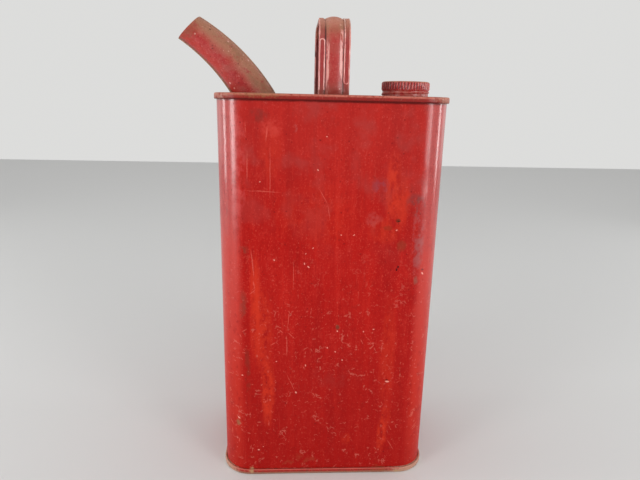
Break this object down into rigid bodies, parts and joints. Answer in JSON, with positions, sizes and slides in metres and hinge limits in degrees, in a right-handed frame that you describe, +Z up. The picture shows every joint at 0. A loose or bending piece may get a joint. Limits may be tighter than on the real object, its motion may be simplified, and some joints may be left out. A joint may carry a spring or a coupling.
{
  "type": "fuel can",
  "caption": "Rectangular sheet-metal fuel can with a curved pouring spout, a ribbed strap handle and a knurled screw cap.",
  "frame": {"origin": "on the resting plane, under the middle of the whole outline with the spout", "axes": "+Z up; +X towards the filler cap, away from the spout; -Y is the wide front"},
  "size_m": [0.2028, 0.109, 0.3664],
  "materials": {
    "body_paint": "old glossy red paint on tinplate, scratched and dusty, worn brighter along vertical streaks",
    "fittings_paint": "old red paint with brown dust and rust on the upper sides",
    "cap_paint": "old red paint over fine knurls, with dust in the grooves",
    "seal": "dull dark sealing disc"
  },
  "bodies": {
    "can": {"body_shell": "body_paint", "top_end": "body_paint", "bottom_end": "body_paint", "spout_front_half": "fittings_paint", "spout_rear_half": "fittings_paint", "handle_strap": "fittings_paint", "filler_neck": "fittings_paint"},
    "cap_liner": {"cap_gasket": "seal"},
    "cap": {"filler_cap": "cap_paint"}
  },
  "joints": [
    {"name": "cap_lift", "type": "slide", "parent": "can", "child": "cap_liner", "axis": [0, 0, 1], "range_m": [0, 0.0071]},
    {"name": "cap_turn", "type": "hinge", "parent": "cap_liner", "child": "cap", "pos_m": [0.07461, 0, 0.318], "axis": [0, 0, 1], "range_deg": [0, 720]}
  ],
  "couplings": [
    {"joint": "cap_lift", "follows": "cap_turn", "m_per_rad": 0.00055704}
  ]
}
